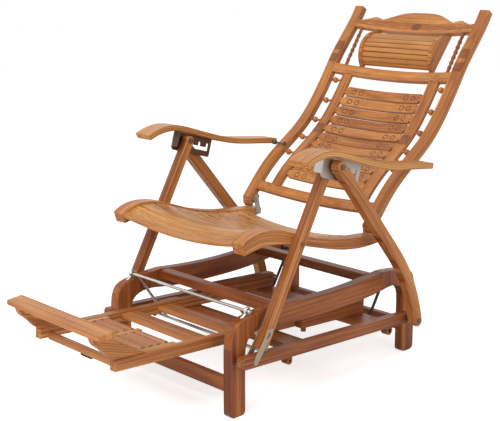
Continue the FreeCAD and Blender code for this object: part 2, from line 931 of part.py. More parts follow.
stile_low = back_long - 2
crest_low = 74
mid_top = crest_low + 138
mid_low = mid_top + size("mid_rail_high")
bottom_top = stile_low - 76
bottom_low = bottom_top + size("bottom_rail_high")


def stile_outline():
    """Outer stile, its lower end cut back so that it clears the seat rail when the back comes up."""
    steps = 12
    last = stile_low - 12
    stops = [2 + (last - 2) * number / steps for number in range(steps + 1)]
    thick = size("stile_thick")
    front = [on_back(down) for down in stops]
    rear = [on_back(down, thick) for down in reversed(stops)]
    return outline(
        front[0],
        ("curve", *front[1:]),
        ("line", on_back(stile_low, 16), on_back(stile_low, thick + 8), rear[0]),
        ("curve", *rear[1:]),
        ("line", front[0]),
    )


for word, side in SIDES.items():
    name = "stile_" + word
    arm_pivot = (size("arm_pivot_y"), size("arm_pivot_z"))
    keep(name, panel(name, stile_outline(), stile_inner, "stile_wide", side,
                     holes=[(arm_pivot, size("arm_bolt") + size("running_gap"))]))

inner_deep = bow_at(size("inner_stile_half") - size("inner_stile_wide") / 2)
inner_start = size("inner_stile_half") - size("inner_stile_wide")


def bowed_curves(half, start_deep, thick):
    """Plan of a bowed board: X across, and depth behind the back's front face."""
    low = bow_at(half) + start_deep
    mid = bow_at(0) + start_deep
    return outline(
        (-half, low),
        ("arc", (0, mid), (half, low)),
        ("line", (half, low + thick)),
        ("arc", (0, mid + thick), (-half, low + thick)),
        ("line", (-half, low)),
    )


def seat_on_back(body, down):
    """Stand a piece drawn in plan on the back, its foot at a distance down from the top."""
    point = on_back(down)
    body.Placement = Placement(Vector(0, point[0], point[1]), Rotation(Vector(1, 0, 0), back_angle(down) - 90))
    return body


def bowed_rail(name, down, high, soft="slat_edge"):
    body = new_body(name)
    half = stile_inner
    pad(body, name + "Pad", bowed_curves(half, 0, size("back_rail_thick")), 0, high, role="XY_Plane")
    if soft:
        soften(body, name + "Chamfer", soft, "Z")
    return seat_on_back(body, down)


keep("mid_rail", bowed_rail("mid_rail", mid_low, "mid_rail_high"))
keep("bottom_rail", bowed_rail("bottom_rail", bottom_low, "bottom_rail_high"))


def inner_stile(word, side):
    """Narrow stile whose ends butt against the middle and the bottom rail."""
    strip = strip_outline(mid_low - 4, bottom_top + 4, inner_deep, size("inner_stile_thick"), 8)
    stile = panel("InnerStile" + word, strip, inner_start, "inner_stile_wide", side)
    under_mid = cut("InnerStileTop" + word, stile, sub_parts["mid_rail"])
    return cut("InnerStileFoot" + word, under_mid, sub_parts["bottom_rail"])


group("inner_stiles", [inner_stile(word, side) for word, side in SIDES.items()])


def crest_rail():
    """Bowed top rail with a high arched middle and a small ear towards each end."""
    body = new_body("crest_rail")
    half = stile_inner
    high = size("crest_high")
    rise = size("crest_rise")
    pad(body, "CrestPad", bowed_curves(half, 0, size("back_rail_thick")), 0, "crest_rise", role="XY_Plane")
    over = rise + 5
    ear = high + 14
    valley = high + 9
    cut_shape = body.newObject("PartDesign::Pocket", "CrestTop")
    curves = outline(
        (-half - 2, over),
        ("line", (-half - 2, high), (-half, high)),
        ("curve", (-half + 30, high + 3), (-half + 56, ear), (-half + 70, ear - 1), (-half + 84, valley)),
        ("curve", (-half + 112, high + 22), (-half + 150, rise - 6), (0, rise), (half - 150, rise - 6),
         (half - 112, high + 22), (half - 84, valley)),
        ("curve", (half - 70, ear - 1), (half - 56, ear), (half - 30, high + 3), (half, high)),
        ("line", (half + 2, high), (half + 2, over), (-half - 2, over)),
    )
    cut_shape.Profile = draw(body, "CrestTopOutline", curves, role="XZ_Plane")
    cut_shape.Type = "ThroughAll"
    cut_shape.Midplane = True
    body.Tip = cut_shape
    return seat_on_back(body, crest_low)


keep("crest_rail", crest_rail())


def back_slat(number):
    """Bowed slat with narrow necks that enter the inner stiles."""
    name = "BackSlat%d" % number
    down = mid_low + size("top_slat_gap") + number * size("back_slat_pitch") + size("back_slat_wide")
    half = inner_start
    neck = size("slat_neck_long")
    wide = size("back_slat_wide")
    shoulder = (wide - size("slat_neck_wide")) / 2
    body = new_body(name)
    pad(body, name + "Pad", bowed_curves(half, 1, size("back_slat_thick")), 0, "back_slat_wide", role="XY_Plane")
    for place, start, end in (("Left", half - neck, half + 2), ("Right", -half - 2, -half + neck)):
        for level, low, high in (("Low", -2, shoulder), ("High", wide - shoulder, wide + 2)):
            notch = body.newObject("PartDesign::Pocket", name + "Notch" + place + level)
            curves = outline((start, low), ("line", (end, low), (end, high), (start, high), (start, low)))
            notch.Profile = draw(body, name + "NotchOutline" + place + level, curves, role="XZ_Plane")
            notch.Type = "ThroughAll"
            notch.Midplane = True
    return seat_on_back(body, down)


group("back_slats", [back_slat(number) for number in range(BACK_SLATS)])


def bead(word, side, number):
    """Turned ball on a peg between the outer and the inner stile."""
    down = mid_low + 22 + number * size("bead_pitch")
    centre = on_back(down, size("stile_thick") / 2 + 4)
    ball = doc.addObject("Part::Sphere", "Ball%s%d" % (word, number))
    bind(ball, Radius="bead_radius")
    ball.Placement = Placement(Vector(side * size("bead_half"), centre[0], centre[1]), Rotation())
    peg = disc("Peg%s%d" % (word, number), side, size("inner_stile_half"), stile_inner, centre,
               size("bead_peg"))
    return fuse("Bead%s%d" % (word, number), [ball, peg])


group("beads", [bead(word, side, number) for word, side in SIDES.items() for number in range(BEAD_ROWS)])


def spindle(word, side):
    """Turned rod from the middle rail up to the crest."""
    deep = bow_at(size("spindle_half")) + size("back_rail_thick") / 2
    x = side * size("spindle_half")
    low = on_back(mid_top, deep)
    high = on_back(crest_low, deep)
    bar = rod("SpindleRod" + word, at(x, moved(low, back_angle(mid_top), -4)),
              at(x, moved(high, back_angle(crest_low), 4)), "spindle_radius")
    trimmed = cut("SpindleTrimmed" + word, bar, sub_parts["mid_rail"])
    return cut("Spindle" + word, trimmed, sub_parts["crest_rail"])


group("spindles", [spindle(word, side) for word, side in SIDES.items()])

head_deep = bow_at(size("headrest_half") - size("headrest_plate") / 2) + 8
head_low = on_back(mid_top, head_deep)
head_high = on_back(crest_low, head_deep)
head_angle = math.degrees(math.atan2(head_high[1] - head_low[1], head_high[0] - head_low[0]))
head_long = math.dist(head_low, head_high)
head_round = ((head_long / 2 - 6) ** 2 + size("headrest_bulge") ** 2) / (2 * size("headrest_bulge"))


def on_headrest(along, front):
    return moved(head_low, head_angle, along, front)


def head_plate(word, side):
    """D-shaped end board that fills the gap between the two rails."""
    inset = 6
    back = 7
    curves = outline(
        on_headrest(-3, -back),
        ("line", on_headrest(-3, 2), on_headrest(inset, 2)),
        ("arc", on_headrest(head_long / 2, size("headrest_bulge")), on_headrest(head_long - inset, 2)),
        ("line", on_headrest(head_long + 3, 2), on_headrest(head_long + 3, -back), on_headrest(-3, -back)),
    )
    plate = panel("HeadPlate" + word, curves, size("headrest_half") - size("headrest_plate"), "headrest_plate", side,
                  soft=None)
    trimmed = cut("HeadPlateTrimmed" + word, plate, sub_parts["mid_rail"])
    return cut("HeadEnd" + word, trimmed, sub_parts["crest_rail"])


group("headrest_ends", [head_plate(word, side) for word, side in SIDES.items()])


def head_slat(number):
    """Narrow slat between the end boards, laid round their bulge."""
    half_turn = math.degrees(math.asin((head_long / 2 - 6) / head_round)) - 7
    turn = -half_turn + 2 * half_turn * number / (HEADREST_SLATS - 1)
    centre = on_headrest(head_long / 2, size("headrest_bulge") - head_round)
    outward = head_angle + 90 - turn
    radius = head_round - size("headrest_slat_thick") - 4
    half = size("headrest_half") - size("headrest_plate")
    corner = moved(centre, outward, radius, -size("headrest_slat") / 2)
    box = doc.addObject("Part::Box", "HeadSlatBox%d" % number)
    box.Length = 2 * half
    bind(box, Width="headrest_slat_thick", Height="headrest_slat")
    box.Placement = Placement(Vector(-half, corner[0], corner[1]), Rotation(Vector(1, 0, 0), outward))
    return box


group("headrest_slats", [head_slat(number) for number in range(HEADREST_SLATS)])


def back_hinge(word, side):
    """Leaf on the inner face of the stile, turning on the seat's hinge pin."""
    return leaf("BackLeaf" + word, side, back_leaf_inner, back_angle(stile_low - 40), "back_leaf_long",
                size("hinge_pin") + size("running_gap"))


group("back_hinges", [back_hinge(word, side) for word, side in SIDES.items()])


# Armrests: curved boards that pivot on the stiles and rest by a steel comb on the posts' pins.

ARM_TOP = [(-180, 615), (-137, 630), (-100, 634), (-62, 629), (-20, 617), (44, 597), (85, 585), (132, 574), (181, 567),
           (241, 561), (314, 553)]


def arm_outline():
    """Armrest from the side: the underside is the top curve moved in by the board's thickness."""
    curve = Part.BSplineCurve()
    curve.interpolate([Vector(y, z, 0) for y, z in ARM_TOP])
    thick = size("arm_thick")
    under = []
    for y, z in reversed(ARM_TOP):
        here = curve.parameter(Vector(y, z, 0))
        tangent = curve.tangent(here)[0]
        under.append((y + tangent.y * thick, z - tangent.x * thick))
    return outline(ARM_TOP[0], ("curve", *ARM_TOP[1:]), ("line", under[0]), ("curve", *under[1:]),
                   ("line", ARM_TOP[0]))


def on_comb(along, above):
    """Point on the comb, back along its notches from the resting pin, and up."""
    return moved(pin, -size("comb_fall"), along, above)


def comb_window():
    """Channel for the pin, with round-topped notches above it."""
    half = size("bolt_radius") + size("pin_gap")
    tooth = -size("notch_drop")
    low = tooth - size("comb_channel")
    rear = (NOTCHES - 1) * size("notch_pitch") + half
    steps = []
    for number in reversed(range(NOTCHES)):
        middle = number * size("notch_pitch")
        steps.append(("line", on_comb(middle + half, 0)))
        steps.append(("arc", on_comb(middle, half), on_comb(middle - half, 0)))
        steps.append(("line", on_comb(middle - half, tooth)))
        if number:
            steps.append(("line", on_comb(middle - size("notch_pitch") + half, tooth)))
    steps.append(("line", on_comb(-half, low)))
    steps.append(("line", on_comb(rear, low)))
    return outline(on_comb(rear, low), *steps)


def comb_plate(word, side):
    front = -size("comb_front")
    rear = size("comb_rear")
    low = -size("comb_under")
    high = size("comb_over")
    name = "comb_plate_" + word
    body = new_body(name)
    curves = outline(
        on_comb(front, high),
        ("line", on_comb(rear, high), on_comb(rear, low + 4), on_comb(rear - 4, low), on_comb(front + 10, low)),
        ("arc", on_comb(front + 3, low + 3), on_comb(front, low + 10)),
        ("line", on_comb(front, high)),
    )
    pad(body, name + "Pad", curves, comb_inner, "comb_thick", side)
    thick = size("comb_thick")
    tab = outline(on_comb(front, low + 10), ("line", on_comb(front + thick, low + 10), on_comb(front + thick, high),
                                             on_comb(front, high), on_comb(front, low + 10)))
    pad(body, name + "Tab", tab, comb_inner - size("comb_tab"), "comb_tab", side)
    window = body.newObject("PartDesign::Pocket", name + "Window")
    window.Profile = draw(body, name + "WindowOutline", comb_window())
    window.Type = "ThroughAll"
    window.Midplane = True
    body.Tip = window
    return body


for word, side in SIDES.items():
    arm_name = "armrest_" + word
    arm = panel(arm_name + "_board", arm_outline(), arm_inner, "arm_wide", side)
    pivot_hole = disc("ArmBore" + word, side, arm_inner - 1, arm_inner + 20,
                      (size("arm_pivot_y"), size("arm_pivot_z")), size("arm_bolt") + size("running_gap"))
    armrest = keep(arm_name, cut(arm_name, arm, pivot_hole))
    plate = comb_plate(word, side)
    keep("comb_plate_" + word, cut("comb_plate_%s_seated" % word, plate, arm))


def arm_bolt(word, side):
    """Bolt from the stile into the edge of the armrest, with a washer in the gap."""
    centre = (size("arm_pivot_y"), size("arm_pivot_z"))
    stile_outer = stile_inner + size("stile_wide")
    shank = disc("ArmShank" + word, side, stile_inner - 2, arm_inner + 18, centre, size("arm_bolt"))
    washer = disc("ArmWasher" + word, side, stile_outer, arm_inner - size("slide_gap"), centre, 7)
    head = disc("ArmHead" + word, side, stile_inner - 4, stile_inner, centre, 6)
    return fuse("ArmBolt" + word, [shank, washer, head])


group("arm_bolts", [arm_bolt(word, side) for word, side in SIDES.items()])


# Footrest: a ladder that slides in the guides, with a foot board, cheeks and massage rollers.

foot_rail_inner = size("foot_rail_outer") - size("foot_rail_wide")
rail_low = size("slide_gap")
rail_top = rail_low + size("foot_rail_high")


def foot_rail(word, side):
    front = -size("foot_front")
    rear = size("foot_rear")
    curves = outline(
        on_foot_line(front, rail_low),
        ("line", on_foot_line(rear, rail_low), on_foot_line(rear, rail_top), on_foot_line(front, rail_top),
         on_foot_line(front, rail_low)),
    )
    return panel("FootRail" + word, curves, foot_rail_inner, "foot_rail_wide", side)


group("foot_rails", [foot_rail(word, side) for word, side in SIDES.items()])

inside_rails = (-foot_rail_inner, foot_rail_inner)
front_bar_start = -size("foot_front") + size("front_bar_back")
slat_level = rail_top - size("foot_slat_thick") - 3
group("foot_cross_slats", [
    block("FootFrontBar", inside_rails, on_foot_line(front_bar_start, -4), -size("foot_fall"), "front_bar_thick",
          "front_bar_high"),
    block("FootSlat1", inside_rails, on_foot_line(-size("foot_slat_front"), slat_level), -size("foot_fall"), "foot_slat_wide",
          "foot_slat_thick"),
    block("FootSlat2", inside_rails, on_foot_line(size("foot_slat_pitch") - size("foot_slat_front"), slat_level), -size("foot_fall"),
          "foot_slat_wide", "foot_slat_thick"),
])

board_under = rail_top + size("cheek_high")
board_front = -size("foot_front") - 63
board_tilt = 6


def foot_board():
    """Broad bar for the feet, rising to the rear."""
    corner = on_foot_line(board_front, board_under)
    half = size("foot_board_half")
    return block("foot_board", (-half, half), corner, board_tilt, "foot_board_deep", "foot_board_thick")


keep("foot_board", foot_board())


def cheek(word, side):
    """Curved bracket that stands on the foot rail and carries the foot board."""
    corner = on_foot_line(board_front, board_under)
    under_front = moved(corner, board_tilt, 2)
    under_rear = moved(corner, board_tilt, size("foot_board_deep") - 2)
    front = -size("foot_front")
    curves = outline(
        on_foot_line(front, rail_top),
        ("curve", on_foot_line(front - 18, rail_top + 12), on_foot_line(front - 36, rail_top + 30),
         on_foot_line(front - 52, rail_top + 42), under_front),
        ("line", under_rear),
        ("curve", on_foot_line(front + 12, rail_top + 40), on_foot_line(front + 52, rail_top + 16),
         on_foot_line(front + 92, rail_top)),
        ("line", on_foot_line(front, rail_top)),
    )
    return panel("Cheek" + word, curves, foot_rail_inner, "cheek_thick", side, soft="slat_edge")


group("foot_brackets", [cheek(word, side) for word, side in SIDES.items()])

roller_level = rail_top - 8
roller_front = -size("foot_front") + 107


def roller_centre(number):
    return on_foot_line(roller_front + number * size("roller_pitch"), roller_level)


def roller_bar(name, inner, wide, side=1):
    """Bearing bar with a hole for each roller's axle."""
    first = roller_front - size("roller_pitch") * 0.7
    last = roller_front + size("roller_pitch") * (ROLLER_ROWS - 0.3)
    low = roller_level - 8
    high = roller_level + 7
    curves = outline(
        on_foot_line(first, low),
        ("line", on_foot_line(last, low), on_foot_line(last, high), on_foot_line(first, high),
         on_foot_line(first, low)),
    )
    holes = [(roller_centre(number), size("roller_axle") + size("running_gap")) for number in range(ROLLER_ROWS)]
    return panel(name, curves, inner, wide, side, soft=None, holes=holes)


bar_inner = foot_rail_inner - size("roller_bar")
group("roller_frame", [
    roller_bar("RollerBarleft", bar_inner, "roller_bar", 1),
    roller_bar("RollerBarright", bar_inner, "roller_bar", -1),
    roller_bar("RollerDivider", -size("roller_divider") / 2, "roller_divider"),
])


def roller(number):
    """Row of beads turned from one rod on each side of the divider, on a steel axle."""
    centre = roller_centre(number)
    name = "massage_roller_%d" % (number + 1)
    start = size("roller_divider") / 2 + 1
    long = size("roller_half") - start
    step = long / ROLLER_BEADS
    outer = size("roller_radius")
    waist = outer - size("roller_waist")
    barrels = []
    for word, side in SIDES.items():
        points = [(start, 0), (start, waist)]
        for count in range(ROLLER_BEADS):
            left = start + count * step
            points += [(left + step * 0.25, outer), (left + step * 0.75, outer), (left + step, waist)]
        points += [(start + long, 0), (start, 0)]
        body = new_body(name + "Barrel" + word)
        sketch = draw(body, name + "Profile" + word, outline(points[0], ("line", *points[1:])), role="XY_Plane")
        turned = body.newObject("PartDesign::Revolution", name + "Turned" + word)
        turned.Profile = sketch
        turned.ReferenceAxis = (sketch, ["H_Axis"])
        turned.Angle = 360
        turn = Rotation() if side > 0 else Rotation(Vector(0, 0, 1), 180)
        body.Placement = Placement(Vector(0, centre[0], centre[1]), turn)
        barrels.append(body)
    axle_half = foot_rail_inner - 2
    axle = rod(name + "Axle", at(-axle_half, centre), at(axle_half, centre), "roller_axle")
    return keep(name, fuse(name, barrels + [axle]))


for number in range(ROLLER_ROWS):
    roller(number)

doc.recompute()

failed = [thing.Label for thing in doc.Objects if "Invalid" in thing.State or "Error" in thing.State]
if failed:
    raise RuntimeError("these did not compute: " + ", ".join(failed))
for name, thing in sub_parts.items():
    if thing.Shape.isNull() or not thing.Shape.isValid():
        raise RuntimeError("%s has no valid shape" % name)

whole = FreeCAD.BoundBox()
for name, thing in sorted(sub_parts.items()):
    thing.Shape.exportStep("parts/%s.step" % name)
    whole.add(thing.Shape.BoundBox)
    print("%-22s solids %2d volume %9.0f" % (name, len(thing.Shape.Solids), thing.Shape.Volume))
print("whole object", [round(number, 2) for number in (whole.XMin, whole.XMax, whole.YMin, whole.YMax, whole.ZMin,
                                                       whole.ZMax)])
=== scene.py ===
import math

import bmesh
import bpy
from mathutils import Matrix, Vector
from mathutils.bvhtree import BVHTree


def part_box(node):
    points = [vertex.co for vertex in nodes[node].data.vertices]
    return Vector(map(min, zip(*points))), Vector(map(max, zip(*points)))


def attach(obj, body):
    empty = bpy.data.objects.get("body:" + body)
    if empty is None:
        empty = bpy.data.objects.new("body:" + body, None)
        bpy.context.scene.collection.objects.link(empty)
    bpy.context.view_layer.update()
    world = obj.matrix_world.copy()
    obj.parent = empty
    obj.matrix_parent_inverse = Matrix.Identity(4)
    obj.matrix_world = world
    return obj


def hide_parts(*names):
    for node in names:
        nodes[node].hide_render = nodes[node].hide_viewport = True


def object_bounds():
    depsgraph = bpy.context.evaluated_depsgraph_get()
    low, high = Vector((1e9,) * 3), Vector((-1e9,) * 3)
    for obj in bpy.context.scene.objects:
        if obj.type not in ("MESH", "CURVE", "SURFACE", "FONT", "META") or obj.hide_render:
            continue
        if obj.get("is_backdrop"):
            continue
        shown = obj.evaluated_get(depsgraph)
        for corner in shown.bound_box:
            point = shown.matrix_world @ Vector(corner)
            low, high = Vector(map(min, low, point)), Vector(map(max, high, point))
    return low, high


# Looks of a folding recliner of laminated bamboo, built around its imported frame. Metres.
# +Z is up, the sitter faces -Y, and +X is the sitter's left side.

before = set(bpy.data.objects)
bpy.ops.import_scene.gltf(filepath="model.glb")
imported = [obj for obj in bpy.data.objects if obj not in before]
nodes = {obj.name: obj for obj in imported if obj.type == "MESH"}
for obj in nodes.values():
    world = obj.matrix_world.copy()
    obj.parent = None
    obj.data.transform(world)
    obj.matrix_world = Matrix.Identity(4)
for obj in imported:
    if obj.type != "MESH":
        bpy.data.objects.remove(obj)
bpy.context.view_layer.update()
MM = 0.001

for node in nodes.values():
    node.data.polygons.foreach_set("use_smooth", [True] * len(node.data.polygons))
    node.data.set_sharp_from_angle(angle=math.radians(26))


# Shared effect: bamboo strips. The grain runs along Z, strips lie side by side along X, layers along Y.
# Each strip has its own shade, fine fibres and a few growth rings, with a thin glue line between strips.

STRIP_TONE, FIBRE_TONE, STREAK_TONE, PATCH_TONE = 0.34, 0.45, 1.1, 0.7
STREAK_FROM, PATCH_FROM = 0.3, 0.35
TONE_FROM, TONE_TO = 0.22, 1.05
RING_HALF_WIDTH, RING_STRENGTH, RING_RANDOM = 0.014, 0.16, 7.0
RING_SHADE = (0.55, 0.42, 0.32, 1.0)
GLUE_SHADE = (0.45, 0.32, 0.22, 1.0)
ROUGHNESS, FIBRE_ROUGHNESS = 0.33, 0.16
FIBRE_RISE, GLUE_DROP = 0.25, 0.5

strips = bpy.data.node_groups.new("Bamboo strips", "ShaderNodeTree")
for name, kind, value in (
    ("Vector", "NodeSocketVector", (0.0, 0.0, 0.0)),
    ("Pale", "NodeSocketColor", (0.6, 0.27, 0.09, 1.0)),
    ("Deep", "NodeSocketColor", (0.34, 0.11, 0.03, 1.0)),
    ("Strip width", "NodeSocketFloat", 0.019),
    ("Layer thickness", "NodeSocketFloat", 0.006),
    ("Ring spacing", "NodeSocketFloat", 0.23),
    ("Glue width", "NodeSocketFloat", 0.0006),
    ("Glue depth", "NodeSocketFloat", 0.5),
):
    socket = strips.interface.new_socket(name, in_out="INPUT", socket_type=kind)
    socket.default_value = value
strips.interface.new_socket("Color", in_out="OUTPUT", socket_type="NodeSocketColor")
strips.interface.new_socket("Roughness", in_out="OUTPUT", socket_type="NodeSocketFloat")
strips.interface.new_socket("Height", in_out="OUTPUT", socket_type="NodeSocketFloat")
given = strips.nodes.new("NodeGroupInput").outputs
result = strips.nodes.new("NodeGroupOutput").inputs


def calculate(tree, operation, *inputs):
    """Math node in a tree: numbers are set on its sockets, and sockets are linked to them."""
    node = tree.nodes.new("ShaderNodeMath")
    node.operation = operation
    for socket, value in zip(node.inputs, inputs):
        if isinstance(value, (int, float)):
            socket.default_value = value
        else:
            tree.links.new(value, socket)
    return node.outputs["Value"]


def noise(tree, vector, scale, detail=2.0):
    """Noise stretched by a scale for each axis."""
    stretch = tree.nodes.new("ShaderNodeVectorMath")
    stretch.operation = "MULTIPLY"
    stretch.inputs[1].default_value = scale
    tree.links.new(vector, stretch.inputs[0])
    texture = tree.nodes.new("ShaderNodeTexNoise")
    texture.inputs["Scale"].default_value = 1.0
    texture.inputs["Detail"].default_value = detail
    tree.links.new(stretch.outputs["Vector"], texture.inputs["Vector"])
    return texture.outputs["Fac"]


def blend_colour(tree, factor, first, second, mode="MIX"):
    """Mix of two colours. Constants are set on its sockets, and sockets are linked to them."""
    node = tree.nodes.new("ShaderNodeMix")
    node.data_type = "RGBA"
    node.blend_type = mode
    for socket, value in ((node.inputs[0], factor), (node.inputs[6], first), (node.inputs[7], second)):
        if isinstance(value, (int, float, tuple)):
            socket.default_value = value
        else:
            tree.links.new(value, socket)
    return node.outputs[2]


def from_half(tree, value):
    """Distance of a value's fraction from one half, at most 0.5 at each whole number."""
    return calculate(tree, "ABSOLUTE", calculate(tree, "SUBTRACT", calculate(tree, "FRACT", value), 0.5))


axes = strips.nodes.new("ShaderNodeSeparateXYZ")
strips.links.new(given["Vector"], axes.inputs["Vector"])
across = calculate(strips, "DIVIDE", axes.outputs["X"], given["Strip width"])
layer = calculate(strips, "DIVIDE", axes.outputs["Y"], given["Layer thickness"])
cell = strips.nodes.new("ShaderNodeCombineXYZ")
strips.links.new(calculate(strips, "FLOOR", across), cell.inputs["X"])
strips.links.new(calculate(strips, "FLOOR", layer), cell.inputs["Y"])
own = strips.nodes.new("ShaderNodeTexWhiteNoise")
own.noise_dimensions = "3D"
strips.links.new(cell.outputs["Vector"], own.inputs["Vector"])
own_shade = own.outputs["Value"]
fibre = noise(strips, given["Vector"], (900.0, 900.0, 16.0), 3.0)
cloud = noise(strips, given["Vector"], (26.0, 26.0, 5.0))
streak = noise(strips, given["Vector"], (330.0, 330.0, 4.0))
ring_place = calculate(strips, "ADD", calculate(strips, "DIVIDE", axes.outputs["Z"], given["Ring spacing"]),
                       calculate(strips, "MULTIPLY", own_shade, RING_RANDOM))
ring = calculate(strips, "LESS_THAN", from_half(strips, ring_place), RING_HALF_WIDTH)
glue_edges = []
for place, wide in ((across, "Strip width"), (layer, "Layer thickness")):
    reach = calculate(strips, "DIVIDE", given["Glue width"], given[wide])
    glue_edges.append(calculate(strips, "GREATER_THAN", from_half(strips, place),
                                calculate(strips, "SUBTRACT", 0.5, reach)))
glue = calculate(strips, "MAXIMUM", *glue_edges)
streaks = calculate(strips, "MULTIPLY", calculate(strips, "SUBTRACT", streak, STREAK_FROM), STREAK_TONE)
grain = calculate(strips, "ADD", calculate(strips, "MULTIPLY", fibre, FIBRE_TONE), streaks)
patches = calculate(strips, "MULTIPLY", calculate(strips, "SUBTRACT", cloud, PATCH_FROM), PATCH_TONE)
tone = calculate(strips, "ADD", calculate(strips, "MULTIPLY", own_shade, STRIP_TONE),
                 calculate(strips, "ADD", grain, patches))
tone_limits = strips.nodes.new("ShaderNodeMapRange")
tone_limits.inputs["From Min"].default_value = TONE_FROM
tone_limits.inputs["From Max"].default_value = TONE_TO
strips.links.new(tone, tone_limits.inputs["Value"])
wood = blend_colour(strips, tone_limits.outputs["Result"], given["Pale"], given["Deep"])
ringed = blend_colour(strips, calculate(strips, "MULTIPLY", ring, RING_STRENGTH), wood, RING_SHADE,
                      "MULTIPLY")
glued = blend_colour(strips, calculate(strips, "MULTIPLY", glue, given["Glue depth"]), ringed, GLUE_SHADE,
                     "MULTIPLY")
strips.links.new(glued, result["Color"])
strips.links.new(calculate(strips, "ADD", ROUGHNESS, calculate(strips, "MULTIPLY", fibre, FIBRE_ROUGHNESS)),
                 result["Roughness"])
strips.links.new(calculate(strips, "SUBTRACT", calculate(strips, "MULTIPLY", fibre, FIBRE_RISE),
                           calculate(strips, "MULTIPLY", glue, GLUE_DROP)), result["Height"])

# Lacquered bamboo. A material is made for each direction of grain. In the Y-Z plane, a curved piece's
# grain follows its own line, given by a few of its points in millimetres. A piece cut from one solid board
# or turned from one block has strips or layers of the SOLID size, so that no glue line crosses it.

HONEY = ((0.75, 0.325, 0.088, 1.0), (0.31, 0.088, 0.018, 1.0))
PALE = ((0.84, 0.435, 0.135, 1.0), (0.42, 0.150, 0.034, 1.0))
RED = ((0.53, 0.172, 0.040, 1.0), (0.165, 0.036, 0.008, 1.0))
SOLID = 9000 * MM
EDGE_ROUNDING = 1.6 * MM
GRAIN_RELIEF = 0.6 * MM


def new_material(name):
    """A material with nodes, its tree and its surface shader."""
    material = bpy.data.materials.new(name)
    material.use_nodes = True
    return material, material.node_tree, material.node_tree.nodes["Principled BSDF"]


def grain_turn(along, across_chair):
    """Rotation that lays a piece's grain on Z. The angle is above +Y, of the grain or of the face's width."""
    cos, sin = math.cos(math.radians(along)), math.sin(math.radians(along))
    wide, high, out = Vector((0, cos, sin)), Vector((0, -sin, cos)), Vector((1, 0, 0))
    rows = (wide, high, out) if across_chair else (-out, high, wide)
    return Matrix(rows).to_euler()


def bamboo(name, shades, along, across_chair=False, line=(), strip=19 * MM, layer=6 * MM, glue=0.8):
    """Bamboo with its grain at an angle above +Y. Faces lie in the middle of a layer, not on its edge."""
    material, tree, surface = new_material(name)
    place = tree.nodes.new("ShaderNodeTexCoord")
    turn = tree.nodes.new("ShaderNodeMapping")
    turn.inputs["Rotation"].default_value = grain_turn(along, across_chair)
    turn.inputs["Location"].default_value = (strip / 2 if strip == SOLID else 0.0, layer / 2, 0.0)
    tree.links.new(place.outputs["Object"], turn.inputs["Vector"])
    vector = turn.outputs["Vector"]
    if line:
        vector = follow(tree, vector, along, line)
    look = tree.nodes.new("ShaderNodeGroup")
    look.node_tree = strips
    look.inputs["Pale"].default_value, look.inputs["Deep"].default_value = shades
    look.inputs["Strip width"].default_value = strip
    look.inputs["Layer thickness"].default_value = layer
    look.inputs["Glue depth"].default_value = glue
    tree.links.new(vector, look.inputs["Vector"])
    rounded = tree.nodes.new("ShaderNodeBevel")
    rounded.samples = 4
    rounded.inputs["Radius"].default_value = EDGE_ROUNDING
    bump = tree.nodes.new("ShaderNodeBump")
    bump.inputs["Strength"].default_value = 0.35
    bump.inputs["Distance"].default_value = GRAIN_RELIEF
    tree.links.new(rounded.outputs["Normal"], bump.inputs["Normal"])
    tree.links.new(look.outputs["Height"], bump.inputs["Height"])
    tree.links.new(look.outputs["Color"], surface.inputs["Base Color"])
    tree.links.new(look.outputs["Roughness"], surface.inputs["Roughness"])
    tree.links.new(bump.outputs["Normal"], surface.inputs["Normal"])
    surface.inputs["Specular IOR Level"].default_value = 0.34
    surface.inputs["Coat Weight"].default_value = 0.12
    surface.inputs["Coat Roughness"].default_value = 0.22
    return material


def follow(tree, vector, along, line):
    """Takes a curved piece's own line out of the layer coordinate, so layers lie along the line."""
    cos, sin = math.cos(math.radians(along)), math.sin(math.radians(along))
    points = sorted((y * cos + z * sin, z * cos - y * sin) for y, z in line)
    low, high = points[0][0], points[-1][0]
    base = min(off for _, off in points)
    span = max(off for _, off in points) - base
    parts = tree.nodes.new("ShaderNodeSeparateXYZ")
    tree.links.new(vector, parts.inputs["Vector"])
    share = calculate(tree, "DIVIDE", calculate(tree, "SUBTRACT", parts.outputs["Z"], low * MM),
                      (high - low) * MM)
    curve = tree.nodes.new("ShaderNodeFloatCurve")
    handles = curve.mapping.curves[0].points
    while len(handles) < len(points):
        handles.new(0.5, 0.5)
    for handle, (distance, off) in zip(handles, points):
        handle.location = ((distance - low) / (high - low), (off - base) / span)
    curve.mapping.update()
    tree.links.new(share, curve.inputs["Value"])
    off_line = calculate(tree, "ADD", calculate(tree, "MULTIPLY", curve.outputs["Value"], span * MM),
                         base * MM)
    joined = tree.nodes.new("ShaderNodeCombineXYZ")
    tree.links.new(parts.outputs["X"], joined.inputs["X"])
    tree.links.new(calculate(tree, "SUBTRACT", parts.outputs["Y"], off_line), joined.inputs["Y"])
    tree.links.new(parts.outputs["Z"], joined.inputs["Z"])
    return joined.outputs["Vector"]


def paint(material, *names):
    """Puts one material in every slot of the named nodes."""
    for name in names:
        for slot in nodes[name].material_slots:
            slot.material = material


def both(*names):
    """Names of the left and the right piece."""
    return [name + side for name in names for side in ("_left", "_right")]


# Base: two red-brown side frames joined by cross rails, which stand still on the floor. The grain is
# upright in the legs, lengthwise in the beams and across the chair in the rails.

paint(bamboo("Base leg bamboo", RED, 90, layer=16 * MM), *both("base_front_leg", "base_rear_leg"))
paint(bamboo("Base beam bamboo", RED, 0, layer=13 * MM), *both("base_beam"))
paint(bamboo("Base cross bamboo", RED, 0, True, layer=SOLID), "low_stretchers", "upper_front_rail",
      "upper_rear_rail")

# Swing frame: two long red-brown rails with two boards between them, the footrest's guides, and the clips
# that hold it on the hangers' rods.

